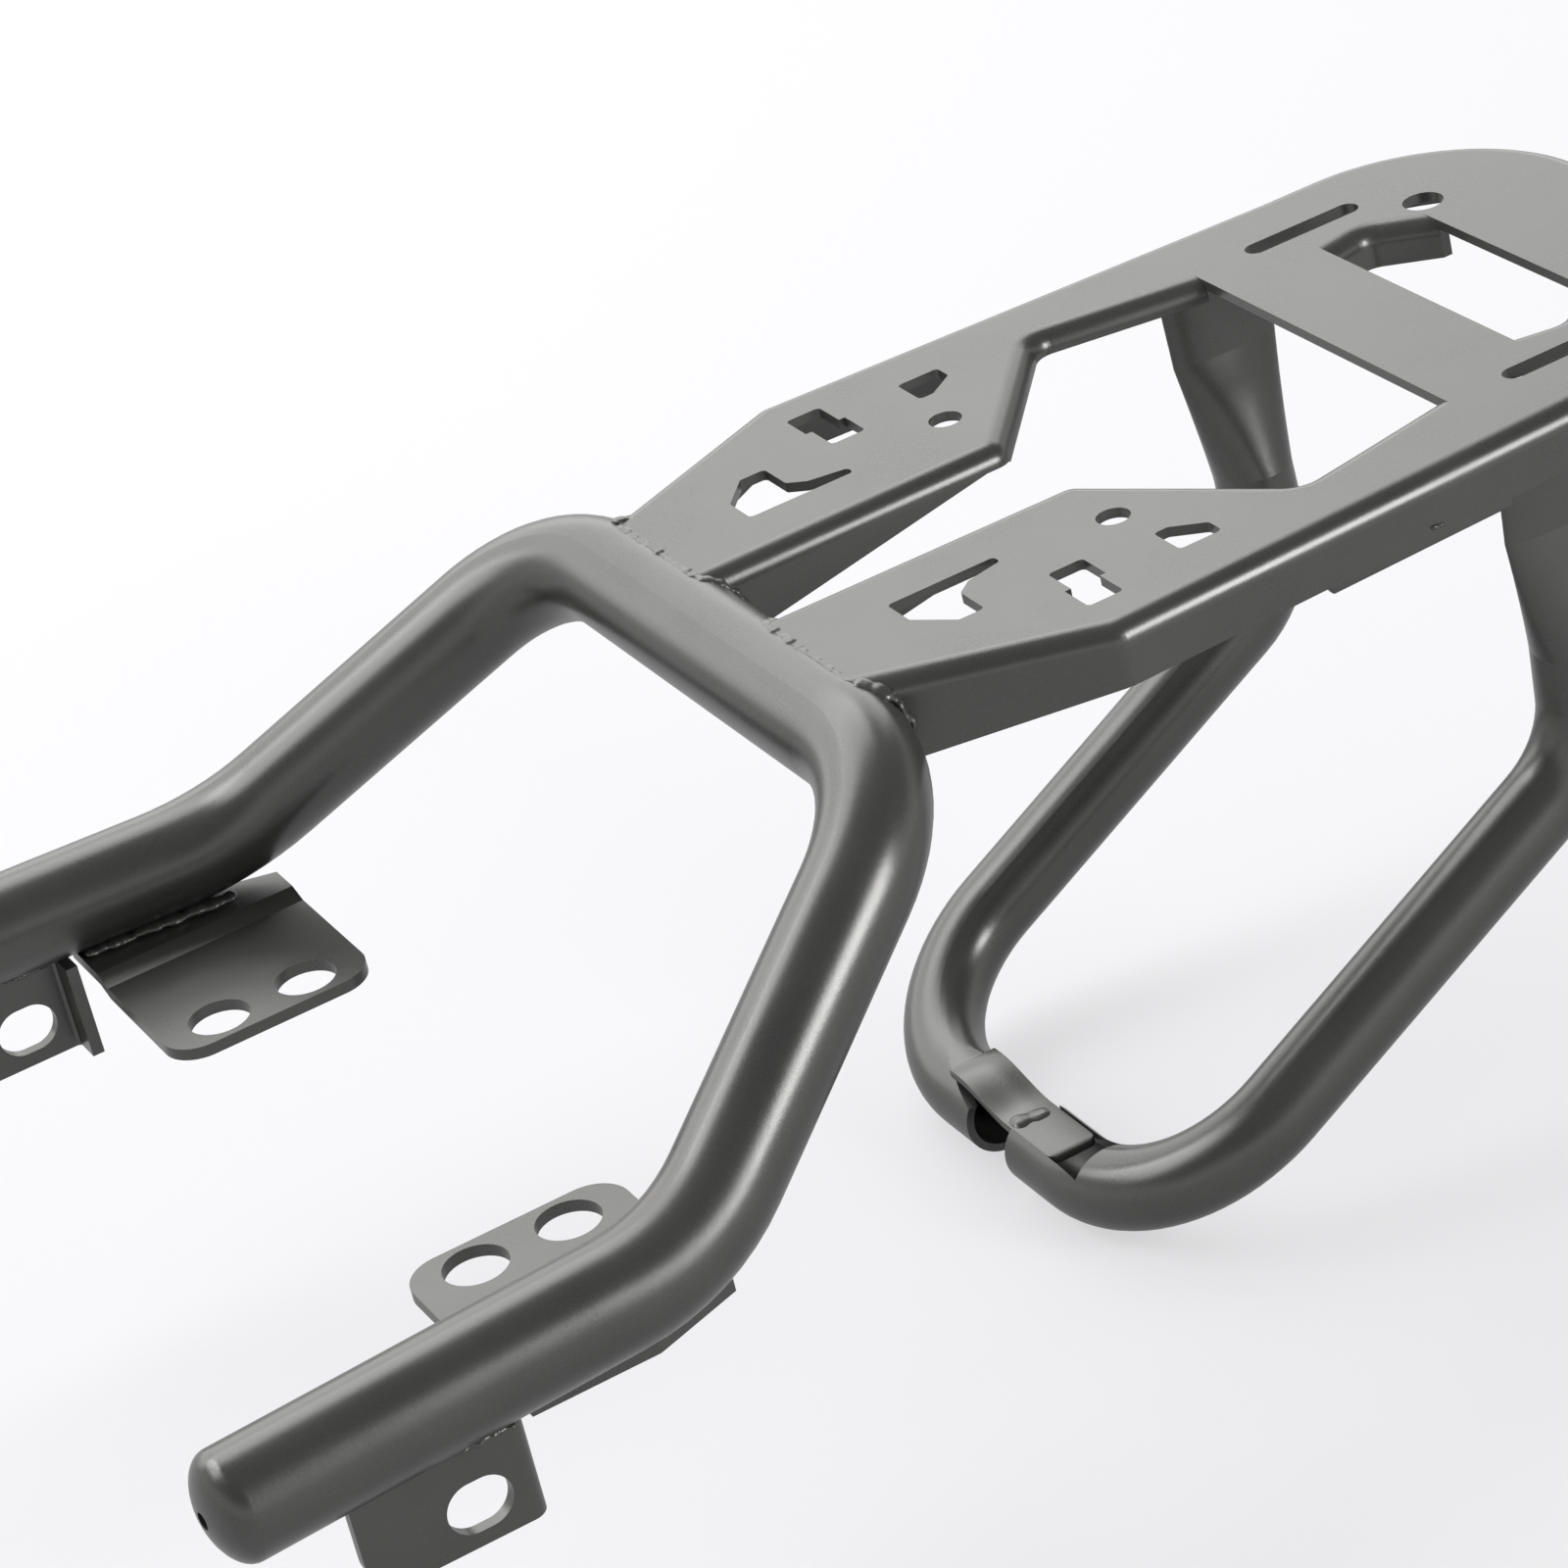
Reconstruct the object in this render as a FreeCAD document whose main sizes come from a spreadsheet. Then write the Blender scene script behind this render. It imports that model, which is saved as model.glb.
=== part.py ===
import FreeCAD, Part
import math
import os
import Sketcher
from FreeCAD import Placement, Rotation, Vector

doc = FreeCAD.newDocument("RearRack")

# Driving dimensions, in millimetres and degrees. The origin lies midway between the four holes
# of the mount tabs, on the seat under them. +Y points to the rear of the vehicle, +X to its left.
SIZES = [
    ("tube_diameter", 25.0),
    ("tube_wall", 2.0),
    ("crossbar_y", 105.0),
    ("crossbar_drop", 12.0),
    ("upper_bend_x", 82.5),
    ("lower_bend_x", 122.5),
    ("lower_bend_y", 17.0),
    ("upper_bend_radius", 40.0),
    ("lower_bend_radius", 55.0),
    ("leg_splay", 4.2),
    ("leg_end_y", -91.0),
    ("dome_length", 7.0),
    ("vent_diameter", 4.0),
    ("deck_height", 86.0),
    ("sheet_thickness", 2.5),
    ("fold_radius", 5.0),
    ("press_depth", 24.0),
    ("rail_flange", 14.5),
    ("prong_flange", 22.0),
    ("inner_flange", 20.0),
    ("rolled_edge", 5.5),
    ("prong_inner_x", 13.5),
    ("prong_outer_x", 57.0),
    ("prong_rear_x", 14.0),
    ("prong_rear_y", 190.0),
    ("shoulder_x", 83.0),
    ("shoulder_y", 161.0),
    ("rail_inner_x", 57.5),
    ("rail_inner_y", 224.0),
    ("band_corner_x", 48.5),
    ("band_front_y", 267.0),
    ("rail_outer_x", 77.0),
    ("rail_rear_y", 300.0),
    ("rear_end_y", 363.0),
    ("rear_corner_radius", 48.0),
    ("corner_radius", 6.0),
    ("hand_front_x", 36.0),
    ("hand_front_y", 294.5),
    ("hand_side_x", 39.0),
    ("hand_side_y", 307.0),
    ("hand_rear_x", 29.0),
    ("hand_rear_y", 321.0),
    ("hand_corner_radius", 6.0),
    ("hand_edge", 10.0),
    ("band_slot_x", 53.5),
    ("band_slot_y", 298.0),
    ("band_slot_length", 32.0),
    ("band_slot_width", 6.0),
    ("band_hole_x", 41.0),
    ("band_hole_y", 325.0),
    ("band_hole_diameter", 10.0),
    ("prong_hole_x", 37.5),
    ("prong_hole_y", 187.5),
    ("prong_hole_diameter", 8.0),
    ("step_slot_x", 59.0),
    ("step_slot_y", 167.0),
    ("step_slot_length", 20.0),
    ("step_slot_width", 9.0),
    ("step_slot_offset", 1.6),
    ("trapezoid_x", 57.5),
    ("trapezoid_y", 189.0),
    ("trapezoid_width", 11.0),
    ("trapezoid_length", 11.0),
    ("hook_x", 32.0),
    ("hook_front_y", 132.0),
    ("hook_bulb_width", 10.0),
    ("hook_width", 19.0),
    ("hook_side_y", 139.5),
    ("hook_rear_y", 146.0),
    ("hook_neck_x", 40.5),
    ("hook_throat_x", 37.0),
    ("hook_throat_y", 150.0),
    ("hook_tip_width", 2.8),
    ("hook_tip_y", 159.5),
    ("cutout_radius", 1.2),
    ("loop_diameter", 20.0),
    ("loop_wall", 2.0),
    ("loop_x", 65.0),
    ("loop_bottom_y", 150.0),
    ("loop_bottom_z", -77.0),
    ("loop_slope", 28.5),
    ("loop_top_y", 280.0),
    ("loop_lower_radius", 40.0),
    ("loop_upper_radius", 27.0),
    ("round_end_z", 24.0),
    ("flat_start_z", 56.0),
    ("flat_width", 29.5),
    ("flat_thickness", 5.5),
    ("flat_top_gap", 3.0),
    ("seam_left_x", 8.0),
    ("seam_right_x", -10.0),
    ("strap_thickness", 2.5),
    ("strap_width", 13.0),
    ("strap_right_x", -40.0),
    ("strap_bend_x", -21.0),
    ("strap_foot_x", 2.0),
    ("strap_left_x", 26.0),
    ("strap_bend_shift", 0.34),
    ("seat_right", 7.0),
    ("seat_slope", 4.2),
    ("seat_left", 1.5),
    ("notch_left_x", 37.0),
    ("notch_width", 13.4),
    ("tab_thickness", 3.0),
    ("tab_drop", 1.8),
    ("tab_length", 52.0),
    ("tab_inner_x", 60.5),
    ("tab_outer_x", 127.0),
    ("tab_bend_x", 104.0),
    ("tab_corner_radius", 9.0),
    ("tab_taper_x", 118.6),
    ("tab_taper_y", 4.0),
    ("tab_hole_x", 70.0),
    ("tab_hole_spacing", 22.5),
    ("tab_hole_diameter", 15.0),
    ("bracket_thickness", 3.0),
    ("bracket_rear_y", -28.0),
    ("bracket_front_y", -69.0),
    ("bracket_depth", 24.5),
    ("bracket_flange", 11.0),
    ("bracket_bend_radius", 4.0),
    ("bracket_corner_radius", 9.0),
    ("bracket_slot_y", -42.3),
    ("bracket_slot_drop", 15.0),
    ("bracket_slot_length", 15.0),
    ("bracket_slot_width", 12.0),
    ("weld_gap", 0.05),
    ("bracket_gap", 0.4),
    ("overcut", 1.0),
]

sheet = doc.addObject("Spreadsheet::Sheet", "Sizes")
for row, (alias, value) in enumerate(SIZES, start=1):
    sheet.set("A%d" % row, alias)
    sheet.set("B%d" % row, repr(value))
    sheet.setAlias("B%d" % row, alias)
doc.recompute()

LEG_Z = "Sizes.tab_thickness + Sizes.tab_drop + Sizes.tube_diameter / 2"
CROSSBAR_Z = "Sizes.deck_height - Sizes.crossbar_drop"
NODES = []
NEAR = 0.01


def size(alias):
    return float(sheet.get(alias))


def value_of(text):
    return float(sheet.evalExpression(text))


def node(feature, label):
    feature.Label = label
    NODES.append(feature)


def plane_of(body, role):
    return next(f for f in body.Origin.OriginFeatures if f.Role == role)


def new_sketch(body, name, role, offset=None):
    sketch = body.newObject("Sketcher::SketchObject", name)
    sketch.AttachmentSupport = [(plane_of(body, role), "")]
    sketch.MapMode = "FlatFace"
    if offset:
        sketch.setExpression("AttachmentOffset.Base.z", offset)
    return sketch


def dimension(sketch, kind, geometry, point, text):
    # a distance from the sketch's origin to one point of a curve
    index = sketch.addConstraint(Sketcher.Constraint(kind, -1, 1, geometry, point, value_of(text)))
    sketch.setExpression("Constraints[%d]" % index, text)


def outline(sketch, corners):
    # a closed run of straight edges, each corner held by two dimensions from the origin
    places = [Vector(value_of(x), value_of(y), 0) for x, y in corners]
    first = sketch.GeometryCount
    count = len(places)
    for i, place in enumerate(places):
        sketch.addGeometry(Part.LineSegment(place, places[(i + 1) % count]))
    for i in range(count):
        following = first + (i + 1) % count
        sketch.addConstraint(Sketcher.Constraint("Coincident", first + i, 2, following, 1))
    for i, (x, y) in enumerate(corners):
        dimension(sketch, "DistanceX", first + i, 1, x)
        dimension(sketch, "DistanceY", first + i, 1, y)


def round_hole(sketch, x, y, diameter):
    centre = Vector(value_of(x), value_of(y), 0)
    index = sketch.addGeometry(Part.Circle(centre, Vector(0, 0, 1), value_of(diameter) / 2))
    dimension(sketch, "DistanceX", index, 3, x)
    dimension(sketch, "DistanceY", index, 3, y)
    held = sketch.addConstraint(Sketcher.Constraint("Diameter", index, value_of(diameter)))
    sketch.setExpression("Constraints[%d]" % held, diameter)


def flipped(corners):
    return [("-(%s)" % x, y) for x, y in reversed(corners)]


def pocket(body, sketch, name, length=None, down=True):
    cut = body.newObject("PartDesign::Pocket", name)
    cut.Profile = sketch
    if length:
        cut.setExpression("Length", length)
        cut.Reversed = not down
    else:
        cut.Type = "ThroughAll"
        cut.Midplane = True
    doc.recompute()
    return cut


def fillet(body, base, name, edges, radius):
    rounded = body.newObject("PartDesign::Fillet", name)
    rounded.Base = (base, edges)
    rounded.setExpression("Radius", radius)
    doc.recompute()
    return rounded


def edges_where(shape, wanted):
    return ["Edge%d" % (i + 1) for i, edge in enumerate(shape.Edges) if wanted(edge)]


def faces_where(shape, wanted):
    return ["Face%d" % (i + 1) for i, face in enumerate(shape.Faces) if wanted(face)]


def along(axis):
    def wanted(edge):
        ends = [vertex.Point for vertex in edge.Vertexes]
        if len(ends) != 2 or edge.Curve.TypeId != "Part::GeomLine":
            return False
        run = (ends[1] - ends[0]).normalize()
        return abs(run.dot(axis)) > 0.9999
    return wanted


upright = along(Vector(0, 0, 1))


def bent_path(corners, radii):
    # straight runs joined by tangent arcs, one radius for each inner corner
    edges = []
    start = corners[0]
    for i, radius in enumerate(radii, start=1):
        back = (corners[i - 1] - corners[i]).normalize()
        ahead = (corners[i + 1] - corners[i]).normalize()
        half = back.getAngle(ahead) / 2
        reach = radius / math.tan(half)
        middle = (back + ahead).normalize()
        first = corners[i] + back * reach
        last = corners[i] + ahead * reach
        crown = corners[i] + middle * (radius / math.sin(half) - radius)
        edges.append(Part.LineSegment(start, first).toShape())
        edges.append(Part.Arc(first, crown, last).toShape())
        start = last
    edges.append(Part.LineSegment(start, corners[-1]).toShape())
    return Part.Wire(edges)


def facing(direction, across):
    # a turn that sends Z along a direction and X as near to another as it can
    axis = Vector(direction).normalize()
    sideways = across - axis * across.dot(axis)
    return Rotation(sideways, axis.cross(sideways), axis, "ZXY")


def section(name, kind, place, turn, **radii):
    curve = doc.addObject(kind, name)
    for prop, text in radii.items():
        curve.setExpression(prop, text)
    curve.Placement = Placement(place, turn)
    return curve


def swept(name, profile, spine):
    sweep = doc.addObject("Part::Sweep", name)
    sweep.Sections = [profile]
    sweep.Spine = (spine, ["Edge%d" % (i + 1) for i in range(len(spine.Shape.Edges))])
    sweep.Solid = True
    sweep.Frenet = False
    return sweep


def lofted(name, sections):
    loft = doc.addObject("Part::Loft", name)
    loft.Sections = sections
    loft.Solid = True
    loft.Ruled = False
    return loft


def fused(name, pieces):
    whole = doc.addObject("Part::MultiFuse", name)
    whole.Shapes = pieces
    return whole


def less(name, base, tool):
    rest = doc.addObject("Part::Cut", name)
    rest.Base = base
    rest.Tool = tool
    return rest


def main_tube():
    # one bent tube: two splayed legs, two risers and the crossbar, with spun-closed leg ends
    leg_z = value_of(LEG_Z)
    upper = Vector(size("upper_bend_x"), size("crossbar_y"), value_of(CROSSBAR_Z))
    lower = Vector(size("lower_bend_x"), size("lower_bend_y"), leg_z)
    splay = math.tan(math.radians(size("leg_splay")))
    end = Vector(lower.x + (lower.y - size("leg_end_y")) * splay, size("leg_end_y"), leg_z)
    right = [end, lower, upper]
    path = right + [Vector(-p.x, p.y, p.z) for p in reversed(right)]
    bends = [size("lower_bend_radius"), size("upper_bend_radius")]
    spine = doc.addObject("Part::Feature", "TubeSpine")
    spine.Shape = bent_path(path, bends + bends[::-1])
    turn = facing(lower - end, Vector(0, 0, 1))
    outer = section("TubeOuter", "Part::Circle", end, turn, Radius="Sizes.tube_diameter / 2")
    bore = section("TubeBore", "Part::Circle", end, turn,
                   Radius="Sizes.tube_diameter / 2 - Sizes.tube_wall")
    skins = [swept("TubeSkin", outer, spine)]
    hollows = [swept("TubeHollow", bore, spine)]
    for side in (1, -1):
        place = Vector(side * end.x, end.y, end.z)
        outward = Vector(side * (end.x - lower.x), end.y - lower.y, 0)
        for name, pieces, wall in (("Dome", skins, "0"), ("DomeHollow", hollows, "Sizes.tube_wall")):
            dome = doc.addObject("Part::Ellipsoid", name)
            dome.setExpression("Radius1", "Sizes.dome_length - " + wall)
            dome.setExpression("Radius2", "Sizes.tube_diameter / 2 - " + wall)
            dome.Placement = Placement(place, facing(outward, Vector(0, 0, 1)))
            pieces.append(dome)
        vent = doc.addObject("Part::Cylinder", "Vent")
        vent.setExpression("Radius", "Sizes.vent_diameter / 2")
        vent.setExpression("Height", "Sizes.dome_length * 2")
        vent.Placement = Placement(place, facing(outward, Vector(0, 0, 1)))
        hollows.append(vent)
    tube = less("MainTube", fused("TubeSkins", skins), fused("TubeHollows", hollows))
    node(tube, "main_tube")


def plate_cutouts(body):
    # the lashing and accessory cut-outs, the same on both sides
    hook = [
        ("Sizes.hook_x", "Sizes.hook_front_y"),
        ("Sizes.hook_x", "Sizes.hook_tip_y"),
        ("Sizes.hook_x + Sizes.hook_tip_width", "Sizes.hook_tip_y"),
        ("Sizes.hook_throat_x", "Sizes.hook_throat_y"),
        ("Sizes.hook_neck_x", "Sizes.hook_rear_y"),
        ("Sizes.hook_x + Sizes.hook_width", "Sizes.hook_rear_y"),
        ("Sizes.hook_x + Sizes.hook_width", "Sizes.hook_side_y"),
        ("Sizes.hook_x + Sizes.hook_bulb_width", "Sizes.hook_front_y"),
    ]
    step_inner = "Sizes.step_slot_x - Sizes.step_slot_length / 2"
    step_outer = "Sizes.step_slot_x + Sizes.step_slot_length / 2"
    step_front = "Sizes.step_slot_y - Sizes.step_slot_width / 2"
    step_rear = "Sizes.step_slot_y + Sizes.step_slot_width / 2"
    step = [
        (step_inner, step_front + " + Sizes.step_slot_offset / 2"),
        ("Sizes.step_slot_x", step_front + " + Sizes.step_slot_offset / 2"),
        ("Sizes.step_slot_x", step_front + " - Sizes.step_slot_offset / 2"),
        (step_outer, step_front + " - Sizes.step_slot_offset / 2"),
        (step_outer, step_rear + " - Sizes.step_slot_offset / 2"),
        ("Sizes.step_slot_x", step_rear + " - Sizes.step_slot_offset / 2"),
        ("Sizes.step_slot_x", step_rear + " + Sizes.step_slot_offset / 2"),
        (step_inner, step_rear + " + Sizes.step_slot_offset / 2"),
    ]
    trap_inner = "Sizes.trapezoid_x - Sizes.trapezoid_width / 2"
    trap_outer = "Sizes.trapezoid_x + Sizes.trapezoid_width / 2"
    trap_rear = "Sizes.trapezoid_y + Sizes.trapezoid_length"
    trapezoid = [
        (trap_inner, "Sizes.trapezoid_y"),
        (trap_outer, "Sizes.trapezoid_y"),
        (trap_outer, trap_rear),
        ("Sizes.trapezoid_x", trap_rear),
        (trap_inner, "Sizes.trapezoid_y + Sizes.trapezoid_length / 3"),
    ]
    slot_reach = "(Sizes.band_slot_length - Sizes.band_slot_width) / 2"
    slot_inner = "Sizes.band_slot_x - Sizes.band_slot_width / 2"
    slot_outer = "Sizes.band_slot_x + Sizes.band_slot_width / 2"
    slot = [
        (slot_inner, "Sizes.band_slot_y - " + slot_reach),
        (slot_outer, "Sizes.band_slot_y - " + slot_reach),
        (slot_outer, "Sizes.band_slot_y + " + slot_reach),
        (slot_inner, "Sizes.band_slot_y + " + slot_reach),
    ]
    depth = "Sizes.sheet_thickness + Sizes.overcut"
    angular = new_sketch(body, "AngularCuts", "XY_Plane", "Sizes.deck_height")
    for shape in (hook, step, trapezoid):
        outline(angular, shape)
        outline(angular, flipped(shape))
    cut = pocket(body, angular, "AngularPockets", depth)
    corners = [(value_of(x), value_of(y)) for x, y in hook + trapezoid]
    corners += [(value_of(x), value_of(y)) for x, y in step if x != "Sizes.step_slot_x"]
    eased = edges_where(cut.Shape, lambda e: upright(e) and any(
        abs(abs(e.CenterOfMass.x) - x) < NEAR and abs(e.CenterOfMass.y - y) < NEAR for x, y in corners))
    fillet(body, cut, "CutoutCorners", eased, "Sizes.cutout_radius")
    slots = new_sketch(body, "BandSlots", "XY_Plane", "Sizes.deck_height")
    outline(slots, slot)
    outline(slots, flipped(slot))
    pocket(body, slots, "BandSlotPockets", depth)
    drilled = new_sketch(body, "DrilledHoles", "XY_Plane", "Sizes.deck_height")
    slot_ends = new_sketch(body, "SlotEnds", "XY_Plane", "Sizes.deck_height")
    for sign in ("", "-"):
        for name in ("band_hole", "prong_hole"):
            round_hole(drilled, "%sSizes.%s_x" % (sign, name), "Sizes.%s_y" % name,
                       "Sizes.%s_diameter" % name)
        for way in ("-", "+"):
            end_y = "Sizes.band_slot_y %s %s" % (way, slot_reach)
            round_hole(slot_ends, sign + "Sizes.band_slot_x", end_y, "Sizes.band_slot_width")
    pocket(body, drilled, "DrilledPockets", depth)
    pocket(body, slot_ends, "SlotEndPockets", depth)


def top_plate():
    # one pressed sheet: a blank with its edges folded over, hollowed to the sheet's thickness
    body = doc.addObject("PartDesign::Body", "TopPlate")
    rim = [
        ("Sizes.prong_inner_x", "Sizes.crossbar_y"),
        ("Sizes.prong_outer_x", "Sizes.crossbar_y"),
        ("Sizes.shoulder_x", "Sizes.shoulder_y"),
        ("Sizes.rail_outer_x", "Sizes.rail_rear_y"),
        ("Sizes.rail_outer_x", "Sizes.rear_end_y"),
    ]
    mouth = [
        ("Sizes.band_corner_x", "Sizes.band_front_y"),
        ("Sizes.rail_inner_x", "Sizes.rail_inner_y"),
        ("Sizes.prong_rear_x", "Sizes.prong_rear_y"),
    ]
    plan = new_sketch(body, "PlateOutline", "XY_Plane", "Sizes.deck_height")
    outline(plan, rim + flipped(rim) + flipped(mouth) + mouth)
    blank = body.newObject("PartDesign::Pad", "Blank")
    blank.Profile = plan
    blank.Reversed = True
    blank.setExpression("Length", "Sizes.press_depth")
    doc.recompute()
    hand = [
        ("Sizes.hand_front_x", "Sizes.hand_front_y"),
        ("Sizes.hand_side_x", "Sizes.hand_side_y"),
        ("Sizes.hand_rear_x", "Sizes.hand_rear_y"),
    ]
    grip = new_sketch(body, "HandOpening", "XY_Plane", "Sizes.deck_height")
    outline(grip, hand + flipped(hand))
    opened = pocket(body, grip, "HandPocket")
    rear_y = size("rear_end_y")
    crossbar_y = size("crossbar_y")
    band_y = size("band_front_y")
    hand_y = size("hand_side_y")
    top = size("deck_height")
    corners = edges_where(opened.Shape, lambda e: upright(e) and abs(e.CenterOfMass.y - rear_y) < NEAR)
    rear = fillet(body, opened, "RearCorners", corners, "Sizes.rear_corner_radius")
    corners = edges_where(rear.Shape, lambda e: upright(e) and abs(e.CenterOfMass.y - hand_y) < NEAR)
    eased = fillet(body, rear, "HandCorners", corners, "Sizes.hand_corner_radius")
    corners = edges_where(eased.Shape, lambda e: upright(e)
                          and crossbar_y + NEAR < e.CenterOfMass.y < band_y - NEAR)
    bent = fillet(body, eased, "Corners", corners, "Sizes.corner_radius")
    plain = [crossbar_y, band_y, size("hand_front_y"), size("hand_rear_y")]
    folds = edges_where(bent.Shape, lambda e: e.BoundBox.ZMin > top - NEAR and not (
        e.BoundBox.YLength < NEAR and any(abs(e.CenterOfMass.y - y) < NEAR for y in plain)))
    folded = fillet(body, bent, "Folds", folds, "Sizes.fold_radius")
    floor = top - size("press_depth") + NEAR
    openings = faces_where(folded.Shape, lambda f: f.BoundBox.ZMax < floor
                           or f.BoundBox.YMax < crossbar_y + NEAR)
    wall = body.newObject("PartDesign::Thickness", "SheetWall")
    wall.Base = (folded, openings)
    wall.setExpression("Value", "Sizes.sheet_thickness")
    wall.Reversed = True
    wall.Join = 0
    doc.recompute()
    below = "Sizes.deck_height - Sizes.press_depth - Sizes.overcut"
    front = "Sizes.crossbar_y - Sizes.overcut"
    back = "Sizes.rear_end_y + Sizes.overcut"
    rail_z = "Sizes.deck_height - Sizes.rail_flange"
    trim = new_sketch(body, "FlangeTrim", "YZ_Plane")
    outline(trim, [
        (front, below),
        (back, below),
        (back, rail_z),
        ("Sizes.shoulder_y", rail_z),
        (front, "Sizes.deck_height - Sizes.prong_flange"),
    ])
    pocket(body, trim, "FlangeCut")
    roll = new_sketch(body, "RolledTrim", "XY_Plane", below)
    reach = "Sizes.fold_radius + Sizes.sheet_thickness"
    outline(roll, [
        ("Sizes.prong_rear_x - Sizes.corner_radius", "Sizes.prong_rear_y - %s - Sizes.corner_radius" % reach),
        ("Sizes.rail_inner_x + %s" % reach, "Sizes.rail_inner_y - (%s)" % reach),
        ("Sizes.rail_inner_x + %s" % reach, "Sizes.band_front_y + %s" % reach),
        ("-Sizes.rail_inner_x - (%s)" % reach, "Sizes.band_front_y + %s" % reach),
        ("-Sizes.rail_inner_x - (%s)" % reach, "Sizes.rail_inner_y - (%s)" % reach),
        ("-Sizes.prong_rear_x + Sizes.corner_radius", "Sizes.prong_rear_y - %s - Sizes.corner_radius" % reach),
    ])
    depth = "Sizes.press_depth + Sizes.overcut"
    pocket(body, roll, "RolledCut", depth + " - Sizes.rolled_edge", down=False)
    hand_roll = new_sketch(body, "HandTrim", "XY_Plane", below)
    outline(hand_roll, [
        ("Sizes.hand_side_x + %s" % reach, "Sizes.hand_front_y - (%s)" % reach),
        ("Sizes.hand_side_x + %s" % reach, "Sizes.hand_rear_y + %s" % reach),
        ("-Sizes.hand_side_x - (%s)" % reach, "Sizes.hand_rear_y + %s" % reach),
        ("-Sizes.hand_side_x - (%s)" % reach, "Sizes.hand_front_y - (%s)" % reach),
    ])
    pocket(body, hand_roll, "HandCut", depth + " - Sizes.hand_edge", down=False)
    strips = new_sketch(body, "PlainEdgeTrim", "XY_Plane", below)
    for half, low, high in (
        ("Sizes.band_corner_x - Sizes.weld_gap", "Sizes.band_front_y", "Sizes.band_front_y + " + reach),
        ("Sizes.hand_front_x - Sizes.weld_gap", "Sizes.hand_front_y - (%s)" % reach, "Sizes.hand_front_y"),
        ("Sizes.hand_rear_x - Sizes.weld_gap", "Sizes.hand_rear_y", "Sizes.hand_rear_y + " + reach),
    ):
        outline(strips, [(half, low), (half, high), ("-(%s)" % half, high), ("-(%s)" % half, low)])
    pocket(body, strips, "PlainEdgeCut", depth + " - Sizes.sheet_thickness", down=False)
    taper = new_sketch(body, "InnerFlangeTrim", "YZ_Plane")
    outline(taper, [
        (front, below),
        ("Sizes.prong_rear_y + Sizes.overcut", below),
        ("Sizes.prong_rear_y + Sizes.overcut", "Sizes.deck_height - Sizes.fold_radius"),
        ("Sizes.prong_rear_y - Sizes.corner_radius", "Sizes.deck_height - Sizes.fold_radius"),
        (front, "Sizes.deck_height - Sizes.inner_flange"),
    ])
    tapered = body.newObject("PartDesign::Pocket", "InnerFlangeCut")
    tapered.Profile = taper
    tapered.Midplane = True
    tapered.setExpression("Length", "2 * (Sizes.prong_rear_x + %s)" % reach)
    doc.recompute()
    cope = new_sketch(body, "CrossbarCope", "YZ_Plane")
    round_hole(cope, "Sizes.crossbar_y", CROSSBAR_Z, "Sizes.tube_diameter + 2 * Sizes.weld_gap")
    pocket(body, cope, "CrossbarCut")
    plate_cutouts(body)
    node(body, "top_plate")


def loop_half(side, label, seam, seats):
    # one side of the support loop: round tube below, flattened at the top against the flange
    rise = math.tan(math.radians(size("loop_slope")))
    bottom = Vector(side * size("loop_x"), size("loop_bottom_y"), size("loop_bottom_z"))
    knee_y = size("loop_top_y")
    knee = Vector(bottom.x, knee_y, bottom.z + (knee_y - bottom.y) * rise)
    flat_rear_y = knee_y + size("flat_width") / 2
    rail_run = size("rail_rear_y") - size("shoulder_y")
    narrowing = (size("shoulder_x") - size("rail_outer_x")) / rail_run
    rail_x = size("shoulder_x") - (flat_rear_y - size("shoulder_y")) * narrowing
    flat_x = rail_x - size("sheet_thickness") - size("flat_thickness") / 2 - 2 * size("weld_gap")
    top_z = size("deck_height") - size("sheet_thickness") - size("flat_top_gap")
    top = Vector(side * flat_x, knee_y, top_z)
    run = top - knee
    round_end = knee + run * ((size("round_end_z") - knee.z) / run.z)
    flat_start = knee + run * ((size("flat_start_z") - knee.z) / run.z)
    start = Vector(size(seam), bottom.y, bottom.z)
    spine = doc.addObject("Part::Feature", "LoopSpine")
    spine.Shape = bent_path([start, bottom, knee, round_end],
                            [size("loop_lower_radius"), size("loop_upper_radius")])
    start_turn = facing(bottom - start, Vector(0, 0, 1))
    run_turn = facing(run, Vector(0, 1, 0))
    solids = []
    for name, wall in (("Skin", "0"), ("Hollow", "Sizes.loop_wall")):
        ring = "Sizes.loop_diameter / 2 - " + wall
        wide = "Sizes.flat_width / 2 - " + wall
        thin = "Sizes.flat_thickness / 2 - " + wall
        begin = section("LoopStart" + name, "Part::Circle", start, start_turn, Radius=ring)
        round_ring = section("LoopRound" + name, "Part::Ellipse", round_end, run_turn,
                             MajorRadius=ring, MinorRadius=ring)
        flat_ring = section("LoopFlat" + name, "Part::Ellipse", flat_start, run_turn,
                            MajorRadius=wide, MinorRadius=thin)
        top_ring = section("LoopTop" + name, "Part::Ellipse", top, run_turn,
                           MajorRadius=wide, MinorRadius=thin)
        solids.append(fused("Loop" + name, [
            swept("LoopTube" + name, begin, spine),
            lofted("LoopNeck" + name, [round_ring, flat_ring]),
            lofted("LoopEnd" + name, [flat_ring, top_ring]),
        ]))
    tube = less("LoopTube", solids[0], solids[1])
    for low, high, seat, width in seats:
        cut = doc.addObject("Part::Box", "LoopSeat")
        cut.setExpression("Length", "%s - (%s)" % (high, low))
        cut.setExpression("Width", width)
        cut.setExpression("Height", "Sizes.loop_diameter")
        cut.Placement = Placement(
            Vector(value_of(low), bottom.y - value_of(width) / 2, bottom.z + size(seat)), Rotation())
        tube = less("LoopSeated", tube, cut)
    node(tube, label)


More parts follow.
